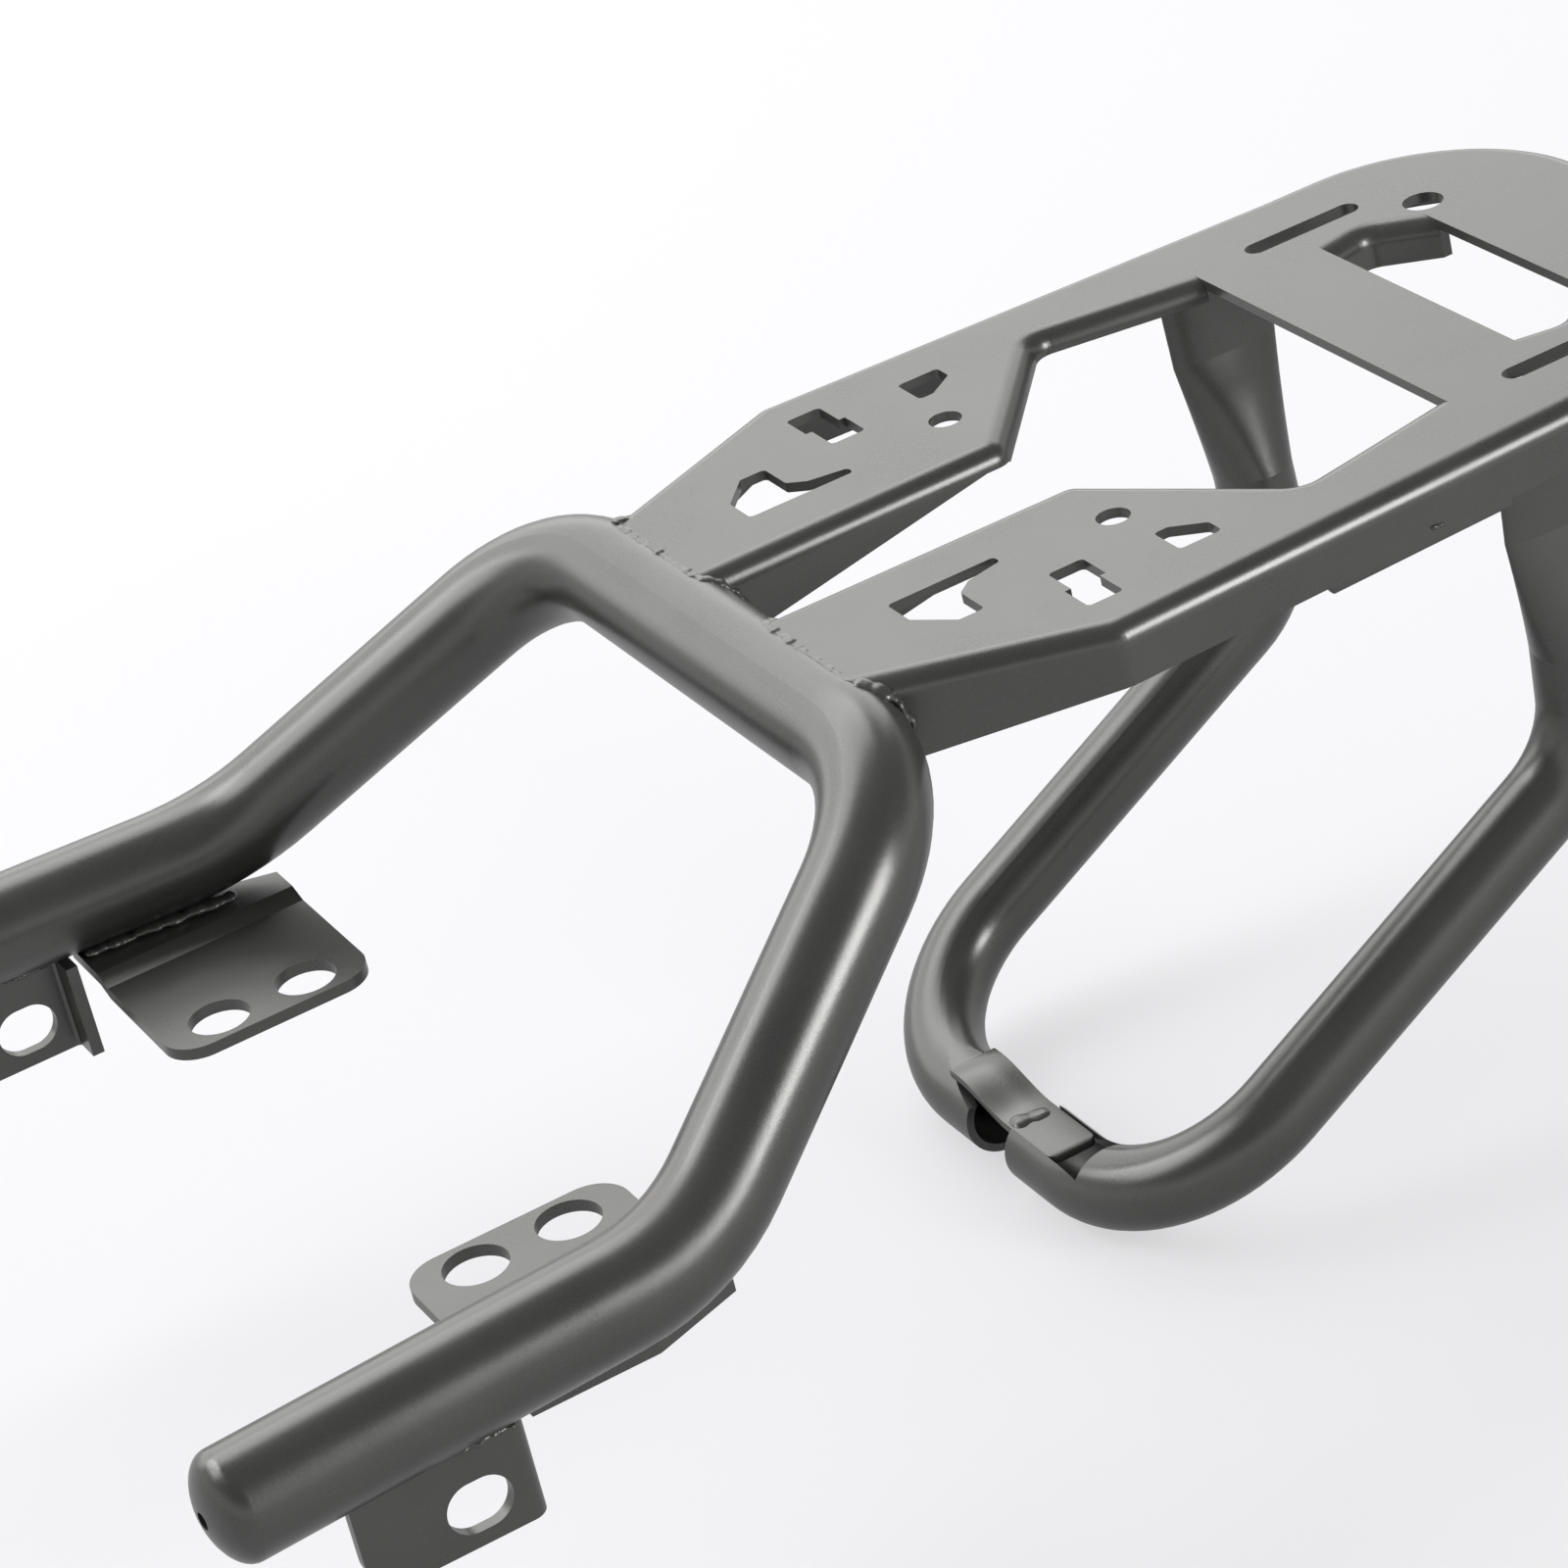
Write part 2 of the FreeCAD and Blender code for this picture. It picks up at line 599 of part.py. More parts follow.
def bridge_strap():
    # a cranked flat bar across the loop's open seam
    body = doc.addObject("PartDesign::Body", "BridgeStrap")
    high = "Sizes.loop_bottom_z + Sizes.seat_right + Sizes.weld_gap"
    low = "Sizes.loop_bottom_z + Sizes.seat_left + Sizes.weld_gap"
    upper = " + Sizes.strap_thickness"
    profile = new_sketch(body, "StrapProfile", "XZ_Plane", "-Sizes.loop_bottom_y")
    outline(profile, [
        ("Sizes.strap_right_x", high),
        ("Sizes.strap_bend_x", high),
        ("Sizes.strap_foot_x", low),
        ("Sizes.strap_left_x", low),
        ("Sizes.strap_left_x", low + upper),
        ("Sizes.strap_foot_x + Sizes.strap_bend_shift", low + upper),
        ("Sizes.strap_bend_x + Sizes.strap_bend_shift", high + upper),
        ("Sizes.strap_right_x", high + upper),
    ])
    bar = body.newObject("PartDesign::Pad", "Bar")
    bar.Profile = profile
    bar.Midplane = True
    bar.setExpression("Length", "Sizes.strap_width")
    doc.recompute()
    ends = edges_where(bar.Shape, upright)
    fillet(body, bar, "BarEnds", ends, "Sizes.strap_width / 4")
    node(body, "bridge_strap")


def mount_tab(side, label):
    # a cranked plate welded under the leg, with two holes beside its inner edge
    sign = "" if side > 0 else "-1 * "
    body = doc.addObject("PartDesign::Body", "MountTab")
    low_top = "Sizes.tab_thickness"
    high = "Sizes.tab_drop - Sizes.weld_gap"
    crank = "Sizes.tab_bend_x + Sizes.tab_drop * 3"
    profile = new_sketch(body, "TabProfile", "XZ_Plane")
    outline(profile, [(sign + "(%s)" % x, z) for x, z in [
        ("Sizes.tab_inner_x", "0"),
        ("Sizes.tab_bend_x", "0"),
        (crank, high),
        ("Sizes.tab_outer_x", high),
        ("Sizes.tab_outer_x", "%s + Sizes.tab_thickness" % high),
        (crank, "%s + Sizes.tab_thickness" % high),
        ("Sizes.tab_bend_x", low_top),
        ("Sizes.tab_inner_x", low_top),
    ]])
    plate = body.newObject("PartDesign::Pad", "TabPlate")
    plate.Profile = profile
    plate.Midplane = True
    plate.setExpression("Length", "Sizes.tab_length")
    doc.recompute()
    bend_x = size("tab_bend_x")
    corners = edges_where(plate.Shape, lambda e: upright(e) and abs(e.CenterOfMass.x) < bend_x)
    fillet(body, plate, "TabCorners", corners, "Sizes.tab_corner_radius")
    taper = new_sketch(body, "TabTaper", "XY_Plane")
    rear = "Sizes.tab_length / 2 + Sizes.overcut"
    outline(taper, [(sign + "(%s)" % x, y) for x, y in [
        ("Sizes.tab_outer_x", "Sizes.tab_taper_y"),
        ("Sizes.tab_outer_x + Sizes.overcut", "Sizes.tab_taper_y"),
        ("Sizes.tab_outer_x + Sizes.overcut", rear),
        ("Sizes.tab_taper_x", rear),
    ]])
    pocket(body, taper, "TabTaperCut")
    holes = new_sketch(body, "TabHoles", "XY_Plane")
    for way in ("", "-"):
        round_hole(holes, sign + "Sizes.tab_hole_x", way + "Sizes.tab_hole_spacing / 2",
                   "Sizes.tab_hole_diameter")
    pocket(body, holes, "TabHolePockets")
    node(body, label)


def slot_bracket(side, label):
    # a web below the leg with a slotted hole, and a flange turned inwards at its rear edge
    sign = "" if side > 0 else "-1 * "
    body = doc.addObject("PartDesign::Body", "SlotBracket")
    middle = "(Sizes.bracket_front_y + Sizes.bracket_rear_y) / 2"
    web = "(Sizes.lower_bend_x + (Sizes.lower_bend_y - %s) * tan(Sizes.leg_splay * 1 deg))" % middle
    outer = "%s + Sizes.bracket_thickness / 2" % web
    inner = "%s - Sizes.bracket_thickness / 2" % web
    lip = "%s - Sizes.bracket_flange" % outer
    top = "%s - Sizes.tube_diameter / 2 - Sizes.bracket_gap" % LEG_Z
    plan = new_sketch(body, "BracketPlan", "XY_Plane", top)
    outline(plan, [(sign + "(%s)" % x, y) for x, y in [
        (outer, "Sizes.bracket_front_y"),
        (outer, "Sizes.bracket_rear_y"),
        (lip, "Sizes.bracket_rear_y"),
        (lip, "Sizes.bracket_rear_y - Sizes.bracket_thickness"),
        (inner, "Sizes.bracket_rear_y - Sizes.bracket_thickness"),
        (inner, "Sizes.bracket_front_y"),
    ]])
    blank = body.newObject("PartDesign::Pad", "BracketBlank")
    blank.Profile = plan
    blank.Reversed = True
    blank.setExpression("Length", "Sizes.bracket_depth")
    doc.recompute()
    rear = size("bracket_rear_y")
    far = abs(value_of(outer)) - NEAR
    near = abs(value_of(inner)) + NEAR
    bend = edges_where(blank.Shape, lambda e: upright(e) and abs(e.CenterOfMass.y - rear) < NEAR
                       and abs(e.CenterOfMass.x) > far)
    outside = fillet(body, blank, "BracketBend", bend, "Sizes.bracket_bend_radius")
    inside_y = rear - size("bracket_thickness")
    bend = edges_where(outside.Shape, lambda e: upright(e) and abs(e.CenterOfMass.y - inside_y) < NEAR
                       and near - 2 * NEAR < abs(e.CenterOfMass.x) < near)
    inside = fillet(body, outside, "BracketInnerBend", bend,
                    "Sizes.bracket_bend_radius - Sizes.bracket_thickness")
    low = value_of(top) - size("bracket_depth") + NEAR
    sideways = along(Vector(1, 0, 0))
    corner = edges_where(inside.Shape, lambda e: sideways(e) and e.CenterOfMass.z < low
                         and e.CenterOfMass.y < size("bracket_front_y") + NEAR)
    eased = fillet(body, inside, "BracketCorner", corner, "Sizes.bracket_corner_radius")
    hole_z = "%s - Sizes.bracket_slot_drop" % top
    half = "(Sizes.bracket_slot_length - Sizes.bracket_slot_width) / 2"
    hole = new_sketch(body, "BracketSlot", "YZ_Plane")
    outline(hole, [
        ("Sizes.bracket_slot_y - %s" % half, "%s - Sizes.bracket_slot_width / 2" % hole_z),
        ("Sizes.bracket_slot_y + %s" % half, "%s - Sizes.bracket_slot_width / 2" % hole_z),
        ("Sizes.bracket_slot_y + %s" % half, "%s + Sizes.bracket_slot_width / 2" % hole_z),
        ("Sizes.bracket_slot_y - %s" % half, "%s + Sizes.bracket_slot_width / 2" % hole_z),
    ])
    pocket(body, hole, "BracketSlotPocket")
    for way in ("-", "+"):
        end = new_sketch(body, "BracketSlotEnd", "YZ_Plane")
        round_hole(end, "Sizes.bracket_slot_y %s %s" % (way, half), hole_z, "Sizes.bracket_slot_width")
        pocket(body, end, "BracketSlotEndPocket")
    node(body, label)


main_tube()
top_plate()
loop_half(1, "loop_tube_left", "seam_left_x", [
    ("Sizes.seam_left_x - Sizes.overcut", "Sizes.notch_left_x", "seat_left", "Sizes.notch_width"),
])
loop_half(-1, "loop_tube_right", "seam_right_x", [
    ("Sizes.strap_right_x - Sizes.overcut", "Sizes.seam_right_x + Sizes.overcut", "seat_right",
     "Sizes.loop_diameter + Sizes.overcut"),
    ("Sizes.strap_bend_x", "Sizes.seam_right_x + Sizes.overcut", "seat_slope",
     "Sizes.loop_diameter + Sizes.overcut"),
])
bridge_strap()
for side, name in ((1, "left"), (-1, "right")):
    mount_tab(side, "mount_tab_" + name)
    slot_bracket(side, "slot_bracket_" + name)
doc.recompute()

for item in doc.Objects:
    if "Invalid" in item.State or "Error" in item.State:
        raise RuntimeError("%s failed: %s" % (item.Label, item.State))
for item in NODES:
    shape = item.Shape
    if shape.isNull() or not shape.isValid() or not shape.Solids:
        raise RuntimeError("%s has no sound solid" % item.Label)

os.makedirs("parts", exist_ok=True)
for item in NODES:
    item.Shape.exportStep("parts/%s.step" % item.Label)
    box = item.Shape.BoundBox
    print("%-20s %d solid %9.0f mm3  x %.1f..%.1f  y %.1f..%.1f  z %.1f..%.1f" % (
        item.Label, len(item.Shape.Solids), item.Shape.Volume,
        box.XMin, box.XMax, box.YMin, box.YMax, box.ZMin, box.ZMax))
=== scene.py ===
import math
import random
import bpy
from mathutils import Matrix, Vector


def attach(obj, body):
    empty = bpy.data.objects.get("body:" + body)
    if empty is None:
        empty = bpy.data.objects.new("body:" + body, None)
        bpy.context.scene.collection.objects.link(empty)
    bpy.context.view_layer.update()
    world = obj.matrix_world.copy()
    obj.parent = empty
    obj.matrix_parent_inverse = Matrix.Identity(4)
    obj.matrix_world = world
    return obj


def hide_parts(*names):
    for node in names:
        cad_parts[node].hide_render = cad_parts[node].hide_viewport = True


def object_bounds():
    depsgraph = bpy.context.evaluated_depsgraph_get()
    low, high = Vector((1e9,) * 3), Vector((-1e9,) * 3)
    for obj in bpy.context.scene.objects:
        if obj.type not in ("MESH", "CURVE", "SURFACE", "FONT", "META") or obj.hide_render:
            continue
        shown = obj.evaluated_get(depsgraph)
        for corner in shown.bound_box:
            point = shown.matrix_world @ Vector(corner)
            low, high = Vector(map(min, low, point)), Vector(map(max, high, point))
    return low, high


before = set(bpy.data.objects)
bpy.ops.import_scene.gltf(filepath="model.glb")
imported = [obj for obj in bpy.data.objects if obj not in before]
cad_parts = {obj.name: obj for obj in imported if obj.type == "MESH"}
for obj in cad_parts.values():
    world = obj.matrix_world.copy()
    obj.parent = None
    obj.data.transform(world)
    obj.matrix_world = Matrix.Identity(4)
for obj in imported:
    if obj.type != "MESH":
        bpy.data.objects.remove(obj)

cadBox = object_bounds()
print("frame loaded:", len(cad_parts), "nodes")


class Wire:
    def __init__(self, tree, socket=None):
        self.tree = tree
        self.socket = socket

    def add(self, kind, settings=None, sockets=None, out=0):
        item = self.tree.nodes.new(kind)
        for name, value in (settings or {}).items():
            if name == "stops":
                ramp = item.color_ramp
                while len(ramp.elements) < len(value):
                    ramp.elements.new(0.5)
                for element, (place, colour) in zip(ramp.elements, value):
                    element.position = place
                    element.color = colour
            else:
                setattr(item, name, value)
        for key, value in (sockets or {}).items():
            if isinstance(value, Wire):
                self.tree.links.new(value.socket, item.inputs[key])
            else:
                item.inputs[key].default_value = value
        return Wire(self.tree, item.outputs[out] if item.outputs else None)

    def math(self, operation, first, second):
        return self.add("ShaderNodeMath", {"operation": operation}, {0: first, 1: second})

    def __add__(self, other):
        return self.math("ADD", self, other)

    def __radd__(self, other):
        return self.math("ADD", other, self)

    def __sub__(self, other):
        return self.math("SUBTRACT", self, other)

    def __rsub__(self, other):
        return self.math("SUBTRACT", other, self)

    def __mul__(self, other):
        return self.math("MULTIPLY", self, other)

    def __rmul__(self, other):
        return self.math("MULTIPLY", other, self)


def newTree(material):
    material.use_nodes = True
    material.node_tree.nodes.clear()
    return Wire(material.node_tree)


coat = {
    "name": "powderCoat",
    "dark": (0.098, 0.098, 0.095, 1.0),
    "light": (0.142, 0.141, 0.136, 1.0),
    "fleck": (0.24, 0.237, 0.228, 1.0),
    "cloudScale": 38.0,
    "grainScale": 2600.0,
    "fleckScale": 2300.0,
    "peelScale": 900.0,
    "cloudShare": 0.6,         # of the mottle, the rest is grain
    "fleckStops": [(0.80, (0, 0, 0, 1)), (0.97, (1, 1, 1, 1))],
    "fleckShare": 0.16,
    "roughness": 0.30,
    "cloudSwing": 0.12,        # how far the gloss varies
    "grainSwing": 0.10,
    "metallic": 0.7,
    "bump": 0.06,
    "bumpDepth": 0.0002,
    "bumpGrain": 0.4,
}


def powderCoat():
    material = bpy.data.materials.new(coat["name"])
    bench = newTree(material)
    place = bench.add("ShaderNodeTexCoord", out=3)
    cloud = bench.add("ShaderNodeTexNoise", {},
                      {"Vector": place, "Scale": coat["cloudScale"], "Detail": 4.0})
    grain = bench.add("ShaderNodeTexNoise", {},
                      {"Vector": place, "Scale": coat["grainScale"], "Detail": 2.0})
    peel = bench.add("ShaderNodeTexNoise", {},
                     {"Vector": place, "Scale": coat["peelScale"], "Detail": 2.0})
    fleck = bench.add("ShaderNodeTexVoronoi", {}, {"Vector": place, "Scale": coat["fleckScale"]}, out=1)
    fleckMask = bench.add("ShaderNodeValToRGB", {"stops": coat["fleckStops"]}, {"Fac": fleck})
    mottle = cloud * coat["cloudShare"] + grain * (1 - coat["cloudShare"])
    body = bench.add("ShaderNodeMix", {"data_type": "RGBA"},
                     {0: mottle, 6: coat["dark"], 7: coat["light"]}, out=2)
    flecked = bench.add("ShaderNodeMix", {"data_type": "RGBA"},
                        {0: fleckMask * coat["fleckShare"], 6: body, 7: coat["fleck"]}, out=2)
    bump = bench.add("ShaderNodeBump", {}, {
        "Strength": coat["bump"],
        "Distance": coat["bumpDepth"],
        "Height": peel + grain * coat["bumpGrain"],
    })
    gloss = (cloud - 0.5) * coat["cloudSwing"]
    fineGloss = (grain - 0.5) * coat["grainSwing"]
    shader = bench.add("ShaderNodeBsdfPrincipled", {}, {
        "Base Color": flecked,
        "Metallic": coat["metallic"],
        "Roughness": coat["roughness"] + gloss + fineGloss,
        "Normal": bump,
    })
    bench.add("ShaderNodeOutputMaterial", {}, {"Surface": shader})
    return material


def dress(piece):
    piece.data.materials.clear()
    piece.data.materials.append(coatMaterial)


coatMaterial = powderCoat()
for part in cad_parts.values():
    dress(part)
print("coat on", len(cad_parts), "nodes")


weld = {
    "bead": 0.0022,        # half width of a bead
    "step": 0.0015,        # way from one ripple to the next
    "short": 0.8,          # length of a ripple against its width
    "flat": 0.50,          # height of a ripple against its width
    "jitter": 0.00032,
    "stray": 0.45,         # share of a step that a ripple may stray along the run
    "swell": (0.68, 1.14),
    "voxel": 0.00045,
    "ease": 0.5,
    "easePasses": 5,
    "seed": 11,
}


def ripple():
    bpy.ops.object.select_all(action="DESELECT")
    bpy.ops.mesh.primitive_ico_sphere_add(subdivisions=2, radius=weld["bead"])
    drop = bpy.context.object
    bpy.ops.object.mode_set(mode="EDIT")
    bpy.ops.mesh.select_all(action="SELECT")
    bpy.ops.transform.resize(value=(weld["short"], 1.0, weld["flat"]))
    bpy.ops.object.mode_set(mode="OBJECT")
    return drop


def weldRun(name, runs):
    draw = random.Random(weld["seed"] + len(name))
    drop = ripple()
    drops = []
    for start, end, girth in runs:
        start, end = Vector(start), Vector(end)
        way = (end - start).normalized()
        count = max(2, round((end - start).length / weld["step"]))
        turn = way.to_track_quat("X", "Z").to_matrix().to_4x4()
        for i in range(count + 1):
            off = Vector([draw.uniform(-1, 1) * weld["jitter"] for axis in range(3)])
            swell = girth * draw.uniform(*weld["swell"])
            along = (i + draw.uniform(-weld["stray"], weld["stray"])) / count
            spot = start.lerp(end, min(max(along, 0.0), 1.0)) + off
            copy = drop.copy()
            copy.data = drop.data.copy()
            bpy.context.collection.objects.link(copy)
            copy.matrix_world = Matrix.Translation(spot) @ turn @ Matrix.Scale(swell, 4)
            drops.append(copy)
    bpy.data.objects.remove(drop)
    bpy.ops.object.select_all(action="DESELECT")
    for copy in drops:
        copy.select_set(True)
    bpy.context.view_layer.objects.active = drops[0]
    bpy.ops.object.join()
    bead = bpy.context.object
    bead.name = name
    bpy.ops.object.transform_apply(location=True, rotation=True, scale=True)
    fuse = bead.modifiers.new("fuse", "REMESH")
    fuse.mode = "VOXEL"
    fuse.voxel_size = weld["voxel"]
    bpy.ops.object.modifier_apply(modifier="fuse")
    ease = bead.modifiers.new("ease", "SMOOTH")
    ease.factor = weld["ease"]
    ease.iterations = weld["easePasses"]
    bpy.ops.object.modifier_apply(modifier="ease")
    bpy.ops.object.shade_smooth()
    dress(bead)
    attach(bead, "root")


def mirrored(runs):
    return [((-a[0], a[1], a[2]), (-b[0], b[1], b[2]), girth) for a, b, girth in runs]


prongWelds = [
    ((0.0170, 0.1092, 0.0853), (0.0545, 0.1092, 0.0853), 0.92),    # front edge on the crossbar
    ((0.0152, 0.1103, 0.0849), (0.0138, 0.1140, 0.0828), 1.15),    # inner flange
    ((0.0134, 0.1150, 0.0820), (0.0134, 0.1174, 0.0775), 0.95),
    ((0.0572, 0.1110, 0.0850), (0.0612, 0.1148, 0.0826), 1.25),    # outer flange
    ((0.0618, 0.1156, 0.0815), (0.0628, 0.1178, 0.0760), 1.0),
    ((0.0629, 0.1180, 0.0750), (0.0627, 0.1174, 0.0700), 0.85),
]
tabWelds = [
    ((0.1183, -0.0245, 0.0058), (0.1166, -0.0010, 0.0058), 1.1),
    ((0.1166, -0.0010, 0.0058), (0.1142, 0.0120, 0.0064), 1.15),
]
bracketWelds = [
    ((0.1294, -0.0705, 0.0046), (0.1294, -0.0320, 0.0046), 0.90),
    ((0.1252, -0.0690, 0.0046), (0.1252, -0.0340, 0.0046), 0.90),
]
railWelds = [
    ((0.0789, 0.2424, 0.0738), (0.0788, 0.2452, 0.0738), 0.75),    # a drop on the left flange
]
strapWelds = [
    ((0.0062, 0.1464, -0.0708), (0.0076, 0.1528, -0.0708), 1.50),      # a low mound across the strap
]
for side, way in (("Left", lambda runs: runs), ("Right", mirrored)):
    weldRun("weldProng" + side, way(prongWelds))
    weldRun("weldTab" + side, way(tabWelds))
    weldRun("weldBracket" + side, way(bracketWelds))
weldRun("weldRail", railWelds)
weldRun("weldStrap", strapWelds)
print("welds laid")


def pickVerts(piece, wanted):
    bpy.ops.object.mode_set(mode="EDIT")
    bpy.ops.mesh.select_mode(type="VERT")
    bpy.ops.mesh.select_all(action="DESELECT")
    bpy.ops.object.mode_set(mode="OBJECT")
    for vertex in piece.data.vertices:
        vertex.select = wanted(vertex.co)
    bpy.ops.object.mode_set(mode="EDIT")


def trim(place, way):
    bpy.ops.mesh.select_all(action="SELECT")
    bpy.ops.mesh.bisect(plane_co=place, plane_no=way, use_fill=True, clear_outer=True)


def finishCoated(piece, smoothTo):
    bpy.ops.object.mode_set(mode="OBJECT")
    bpy.ops.object.shade_smooth_by_angle(angle=smoothTo)
    dress(piece)
    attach(piece, "root")


bridge = {
    "midY": 0.150,
    "wide": 0.0130,
    "startX": -0.0208,
    "crestX": -0.0172,
    "footX": 0.0050,
    "endX": 0.0258,
    "crestZ": -0.0660,     # upper face where it lies on the right tube
    "footZ": -0.0699,      # upper face in the left tube
    "thick": 0.0023,
    "steps": 14,
    "corner": 0.0024,
    "cornerSteps": 5,
    "edge": 0.00045,
    "edgeSteps": 2,
    "edgeAngle": 0.9,      # only corners sharper than this are eased
    "smoothTo": 0.6,
}


def bridgeStrap():
    bpy.ops.object.select_all(action="DESELECT")
    bpy.ops.mesh.primitive_plane_add(size=1.0)
    strip = bpy.context.object
    strip.name = "bridgeStrap"
    midX = (bridge["crestX"] + bridge["startX"]) / 2
    bpy.ops.object.mode_set(mode="EDIT")
    bpy.ops.mesh.select_all(action="SELECT")
    bpy.ops.transform.resize(value=(bridge["crestX"] - bridge["startX"], bridge["wide"], 1.0))
    bpy.ops.transform.translate(value=(midX, bridge["midY"], bridge["crestZ"]))
    pickVerts(strip, lambda spot: spot.x > midX)
    run = bridge["footX"] - bridge["crestX"]
    drop = bridge["footZ"] - bridge["crestZ"]
    sunk = 0.0
    for i in range(bridge["steps"]):
        t = (i + 1) / bridge["steps"]
        eased = t * t * (3 - 2 * t)          # an S from one face to the other
        bpy.ops.mesh.extrude_region_move(TRANSFORM_OT_translate={
            "value": (run / bridge["steps"], 0.0, (eased - sunk) * drop)})
        sunk = eased
    bpy.ops.mesh.extrude_region_move(TRANSFORM_OT_translate={
        "value": (bridge["endX"] - bridge["footX"], 0.0, 0.0)})
    bpy.ops.mesh.bevel(affect="VERTICES", offset=bridge["corner"], segments=bridge["cornerSteps"])
    bpy.ops.object.mode_set(mode="OBJECT")
    plate = strip.modifiers.new("plate", "SOLIDIFY")
    plate.thickness = bridge["thick"]
    plate.offset = -1.0
    bpy.ops.object.modifier_apply(modifier="plate")
    ease = strip.modifiers.new("ease", "BEVEL")
    ease.width = bridge["edge"]
    ease.segments = bridge["edgeSteps"]
    ease.limit_method = "ANGLE"
    ease.angle_limit = bridge["edgeAngle"]
    bpy.ops.object.modifier_apply(modifier="ease")
    finishCoated(strip, bridge["smoothTo"])
    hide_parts("bridge_strap")


collar = {
    "radius": 0.01002,     # just over the tube
    "wall": 0.0020,
    "ring": 96,
    "seamX": -0.0100,
    "bendX": -0.0250,
    "endX": -0.0413,
    "axisY": 0.1500,
    "axisZ": -0.0770,
    "bendPlace": (-0.0250, 0.18515, -0.05791),
    "bendAxis": (0.0, -0.4772, 0.8788),
    "bendTurn": 0.66,
    "bendSteps": 12,
    "mergeWithin": 0.00001,
    "lowZ": -0.0729,
    "facetPlace": (-0.0240, 0.150, -0.0679),       # flat in front of the strap
    "facetWay": (0.168, 0.0, 0.986),
    "slopePlace": (-0.0200, 0.150, -0.0687),       # clear of the strap's underside
    "slopeWay": (0.287, 0.0, 0.958),
    "smoothTo": 0.5,
}


def tubeCollar():
    bpy.ops.object.select_all(action="DESELECT")
    bpy.ops.mesh.primitive_circle_add(vertices=collar["ring"], radius=collar["radius"],
                                      location=(collar["seamX"], collar["axisY"], collar["axisZ"]),
                                      rotation=(0.0, math.pi / 2, 0.0))
    pipe = bpy.context.object
    pipe.name = "tubeCollar"
    bpy.ops.object.transform_apply(location=True, rotation=True, scale=True)
    bpy.ops.object.mode_set(mode="EDIT")
    bpy.ops.mesh.select_all(action="SELECT")
    bpy.ops.mesh.extrude_region_move(TRANSFORM_OT_translate={
        "value": (collar["bendX"] - collar["seamX"], 0.0, 0.0)})
    bpy.ops.mesh.spin(steps=collar["bendSteps"], angle=collar["bendTurn"],
                      center=collar["bendPlace"], axis=collar["bendAxis"])
    bpy.ops.mesh.select_all(action="SELECT")
    bpy.ops.mesh.remove_doubles(threshold=collar["mergeWithin"])
    bpy.ops.mesh.normals_make_consistent(inside=False)
    bpy.ops.object.mode_set(mode="OBJECT")
    wall = pipe.modifiers.new("wall", "SOLIDIFY")
    wall.thickness = collar["wall"]
    wall.offset = -1.0
    bpy.ops.object.modifier_apply(modifier="wall")
    bpy.ops.object.mode_set(mode="EDIT")
    trim((collar["endX"], 0.0, 0.0), (-1.0, 0.0, 0.0))
    trim((0.0, 0.0, collar["lowZ"]), (0.0, 0.0, -1.0))
    trim(collar["facetPlace"], collar["facetWay"])
    trim(collar["slopePlace"], collar["slopeWay"])
    finishCoated(pipe, collar["smoothTo"])


lip = {
    "frontY": 0.2130,
    "rearY": 0.2640,
    "outerX": 0.08068,     # just inside the flange's outer face
    "taper": -0.00221,     # the flange runs inwards to the rear
    "slant": 0.0016,       # of its front end
    "topZ": 0.0727,
    "lowZ": 0.0695,
    "thick": 0.0023,
    "edge": 0.0005,
    "edgeSteps": 3,
    "smoothTo": 0.6,
}


def flangeLip():
    bpy.ops.object.select_all(action="DESELECT")
    bpy.ops.mesh.primitive_cube_add(size=1.0)
    strip = bpy.context.object
    strip.name = "flangeLip"
    size = (lip["thick"], lip["rearY"] - lip["frontY"], lip["topZ"] - lip["lowZ"])
    midY = (lip["frontY"] + lip["rearY"]) / 2
    midZ = (lip["topZ"] + lip["lowZ"]) / 2
    bpy.ops.object.mode_set(mode="EDIT")
    bpy.ops.mesh.select_all(action="SELECT")
    bpy.ops.transform.resize(value=size)
    bpy.ops.transform.translate(value=(lip["outerX"] - lip["thick"] / 2, midY, midZ))
    pickVerts(strip, lambda spot: spot.y > midY)
    bpy.ops.transform.translate(value=(lip["taper"], 0.0, 0.0))
    pickVerts(strip, lambda spot: spot.y < midY and spot.z < midZ)
    bpy.ops.transform.translate(value=(0.0, lip["slant"], 0.0))
    bpy.ops.object.mode_set(mode="OBJECT")
    ease = strip.modifiers.new("ease", "BEVEL")
    ease.width = lip["edge"]
    ease.segments = lip["edgeSteps"]
    bpy.ops.object.modifier_apply(modifier="ease")
    finishCoated(strip, lip["smoothTo"])


bridgeStrap()
tubeCollar()
flangeLip()
print("strap bent, collar closed, lip set")


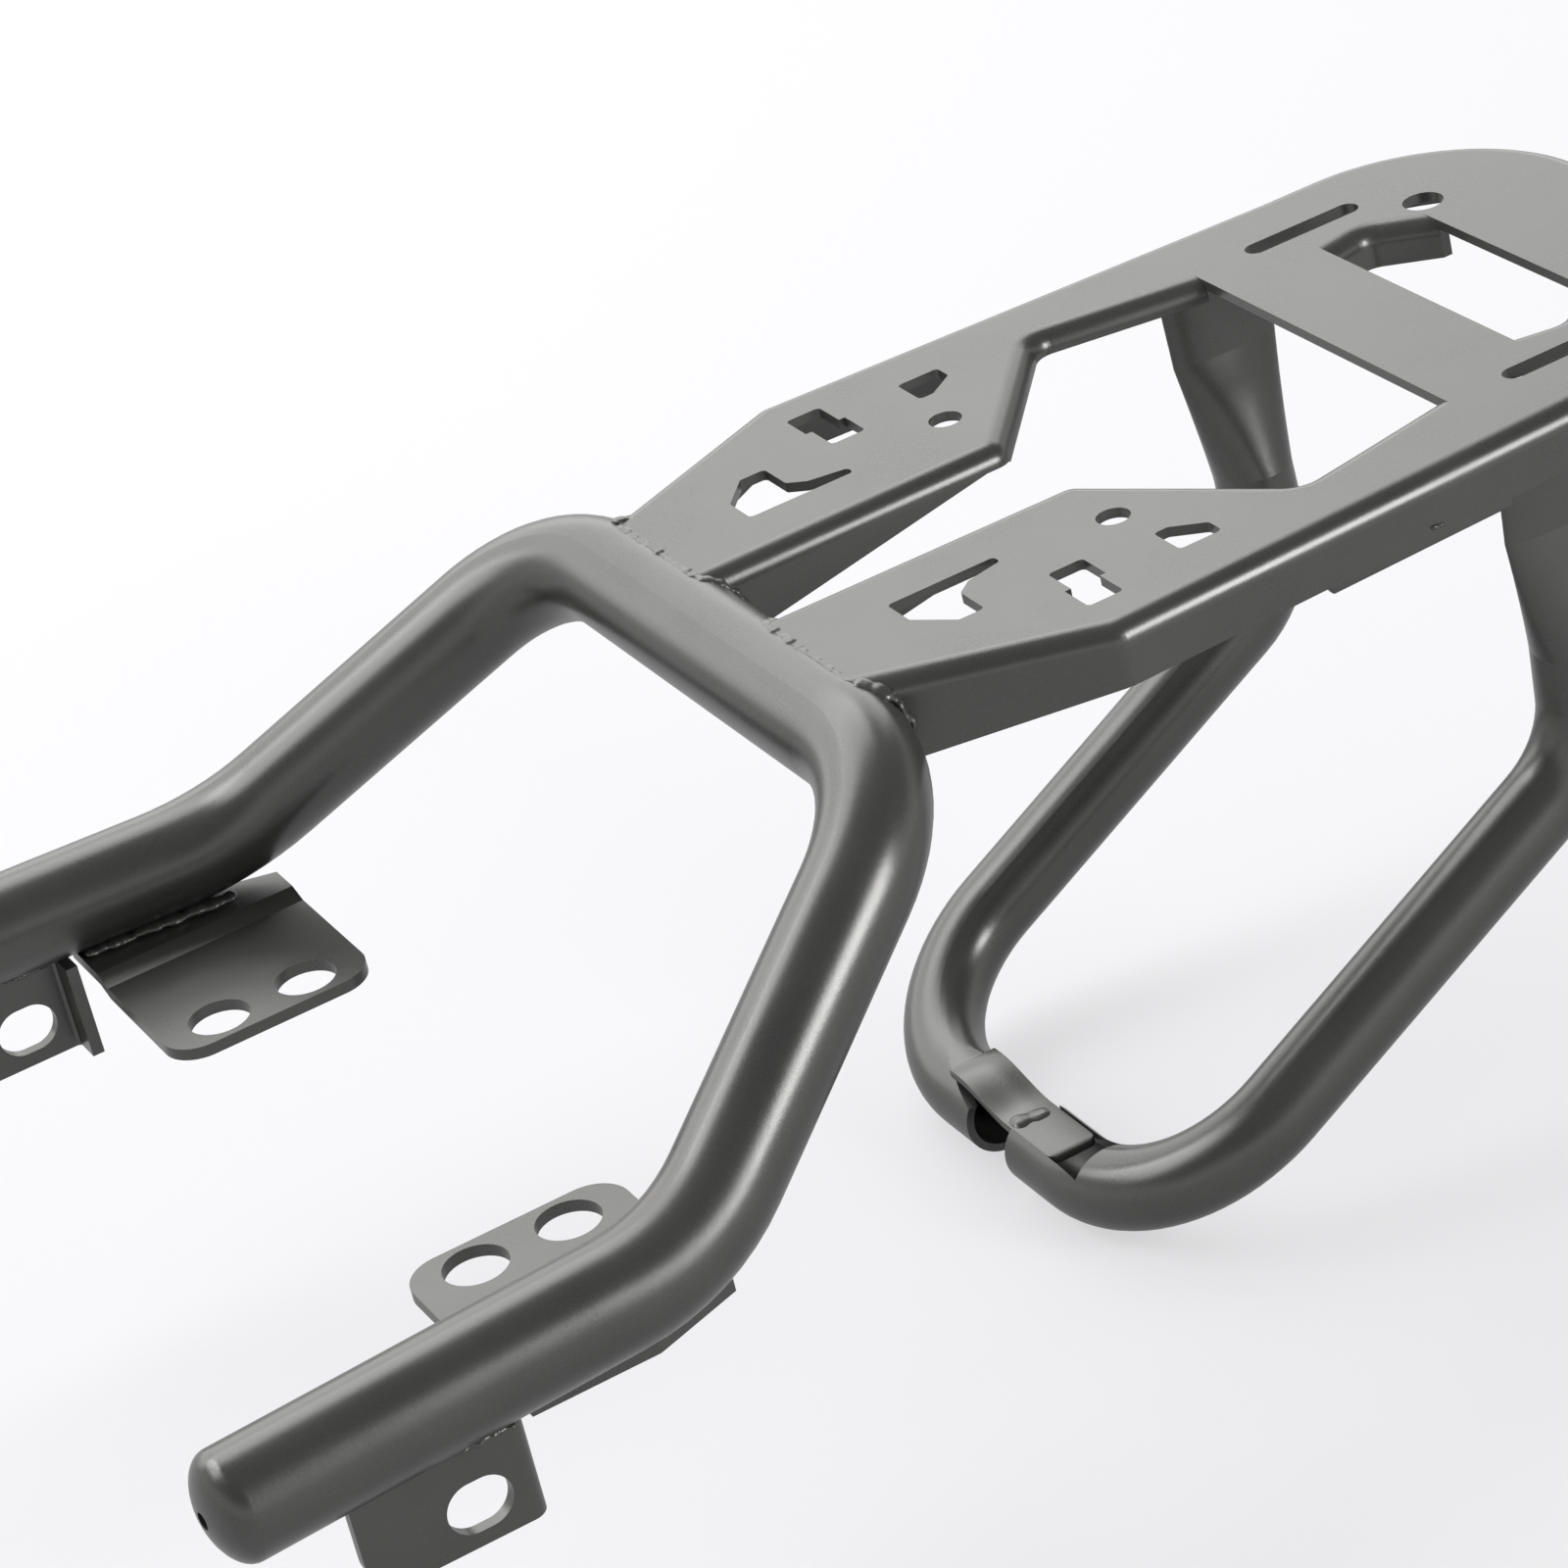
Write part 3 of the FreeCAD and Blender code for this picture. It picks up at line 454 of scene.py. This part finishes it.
studio = {
    "floorZ": cadBox[0].z - 0.0008,
    "floorSize": 12.0,
    "floorColour": (0.25, 0.25, 0.255, 1.0),
    "floorRoughness": 0.9,
    "glowColour": (0.985, 0.985, 1.0, 1.0),
    "floorGlow": 0.60,             # what the camera sees, over the shadows
    "floorSheen": 0.32,            # what the metal sees
    "worldStrength": 0.34,
    "backdropColour": (1.0, 1.0, 1.0, 1.0),
    "backdropStrength": 0.94,
    "backdropStops": [             # what the metal sees, by height
        (0.0, (0.9, 0.9, 0.9, 1.0)),
        (0.25, (0.7, 0.7, 0.7, 1.0)),
        (0.42, (0.2, 0.2, 0.2, 1.0)),
    ],
    "aim": (0.0, 0.12, 0.03),      # where the lamps point
}
softBoxes = {
    "backBox": {"place": (-1.80, 0.35, 0.95), "wide": 4.2, "high": 1.5, "power": 35.0},
    "topBox": {"place": (-0.95, 0.05, 1.35), "wide": 1.9, "high": 0.8, "power": 14.0},
    "leftBox": {"place": (-0.62, -0.85, 1.05), "wide": 1.0, "high": 0.8, "power": 9.0},
    "rightBox": {"place": (1.10, 0.80, 0.50), "wide": 0.38, "high": 0.50, "power": 7.6},
}


def softLamp(name, box):
    bpy.ops.object.light_add(type="AREA", location=box["place"])
    lamp = bpy.context.object
    lamp.name = name
    lamp.data.shape = "RECTANGLE"
    lamp.data.size = box["wide"]
    lamp.data.size_y = box["high"]
    lamp.data.energy = box["power"]
    lamp.visible_camera = False
    aim = Vector(studio["aim"]) - Vector(box["place"])
    lamp.rotation_euler = aim.to_track_quat("-Z", "Y").to_euler()


bpy.ops.object.select_all(action="DESELECT")
bpy.ops.mesh.primitive_plane_add(size=studio["floorSize"], location=(0, 0, studio["floorZ"]))
floor = bpy.context.object
floor.name = "floor"
bpy.ops.object.transform_apply(location=True, rotation=True, scale=True)
floorMaterial = bpy.data.materials.new("paleFloor")
bench = newTree(floorMaterial)
seen = bench.add("ShaderNodeLightPath")
mirrorSeen = bench.add("ShaderNodeLightPath", out="Is Glossy Ray")
floorShader = bench.add("ShaderNodeBsdfPrincipled", {}, {
    "Base Color": studio["floorColour"],
    "Roughness": studio["floorRoughness"],
    "Emission Color": studio["glowColour"],
    "Emission Strength": seen * studio["floorGlow"] + mirrorSeen * studio["floorSheen"],
})
bench.add("ShaderNodeOutputMaterial", {}, {"Surface": floorShader})
floor.data.materials.append(floorMaterial)

world = bpy.data.worlds.new("studio")
bpy.context.scene.world = world
bench = newTree(world)
seen = bench.add("ShaderNodeLightPath")
mirrorSeen = bench.add("ShaderNodeLightPath", out="Is Glossy Ray")
heading = bench.add("ShaderNodeTexCoord")
height = bench.add("ShaderNodeSeparateXYZ", {}, {"Vector": heading}, out="Z")
dusk = bench.add("ShaderNodeValToRGB", {"stops": studio["backdropStops"]}, {"Fac": height})
backdrop = bench.add("ShaderNodeBackground", {}, {
    "Color": studio["backdropColour"],
    "Strength": seen * studio["backdropStrength"] + mirrorSeen * dusk
                + (1 - seen - mirrorSeen) * studio["worldStrength"],
})
bench.add("ShaderNodeOutputWorld", {}, {"Surface": backdrop})
for name, box in softBoxes.items():
    softLamp(name, box)
print("studio lit")

view = {
    "place": (1.0133, -0.2986, 0.6302),
    "right": (0.47006, 0.85717, -0.21056),
    "up": (-0.33932, 0.39570, 0.85341),
    "back": (0.81482, -0.32970, 0.47685),
    "lens": 126.5,
    "sensor": 36.0,
    "nearest": 0.01,
}
bpy.ops.object.camera_add(location=view["place"])
camera = bpy.context.object
axes = Matrix([view["right"], view["up"], view["back"]]).transposed()
camera.rotation_euler = axes.to_euler()
camera.data.lens = view["lens"]
camera.data.sensor_width = view["sensor"]
camera.data.clip_start = view["nearest"]
bpy.context.scene.camera = camera
bpy.context.scene.view_settings.view_transform = "Standard"
print("camera placed")
